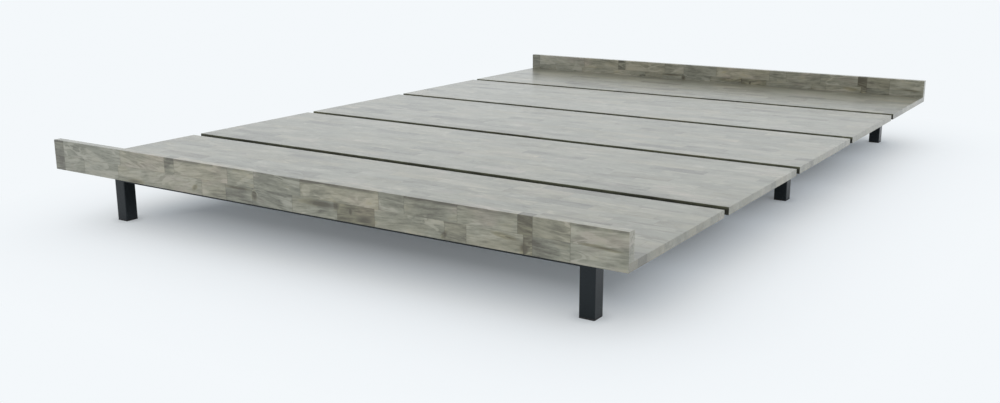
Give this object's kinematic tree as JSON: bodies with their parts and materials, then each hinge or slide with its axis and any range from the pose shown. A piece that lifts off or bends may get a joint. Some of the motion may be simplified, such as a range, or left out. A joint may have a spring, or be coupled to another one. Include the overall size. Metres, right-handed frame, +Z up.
{
  "type": "low floor bed",
  "caption": "Low floor bed: wide slat panels lie side by side on a black square-tube base, and a board on edge at the head and at the foot keeps the mattress in.",
  "frame": {"origin": "on the floor under the middle of the bed", "axes": "+X to the right as seen from the foot of the bed, along the panels; +Y along the bed, from foot to head; +Z up"},
  "size_m": [1.39, 2.038, 0.184],
  "materials": {
    "panel_wood": "satin oiled, finger-jointed staves",
    "board_wood": "satin oiled, finger-jointed staves",
    "frame_steel": "satin black powder coat",
    "foot_plastic": "matt black",
    "screw_steel": "zinc plated",
    "dowel_wood": "plain, unfinished"
  },
  "bodies": {
    "root": {"panel_1": "panel_wood", "panel_2": "panel_wood", "panel_3": "panel_wood", "panel_4": "panel_wood", "panel_5": "panel_wood", "front_end_board": "board_wood", "rear_end_board": "board_wood", "front_crossbar": "frame_steel", "front_left_leg": "frame_steel", "front_right_leg": "frame_steel", "front_left_foot": "foot_plastic", "front_right_foot": "foot_plastic", "front_rail_tongues": "frame_steel", "middle_crossbar": "frame_steel", "middle_left_leg": "frame_steel", "middle_right_leg": "frame_steel", "middle_left_foot": "foot_plastic", "middle_right_foot": "foot_plastic", "middle_rail_tongues": "frame_steel", "rear_crossbar": "frame_steel", "rear_left_leg": "frame_steel", "rear_right_leg": "frame_steel", "rear_left_foot": "foot_plastic", "rear_right_foot": "foot_plastic", "rear_rail_tongues": "frame_steel", "front_left_rail": "frame_steel", "front_centre_rail": "frame_steel", "front_right_rail": "frame_steel", "rear_left_rail": "frame_steel", "rear_centre_rail": "frame_steel", "rear_right_rail": "frame_steel", "rail_end_screws": "screw_steel", "panel_screws": "screw_steel", "board_dowels": "dowel_wood"}
  },
  "joints": []
}
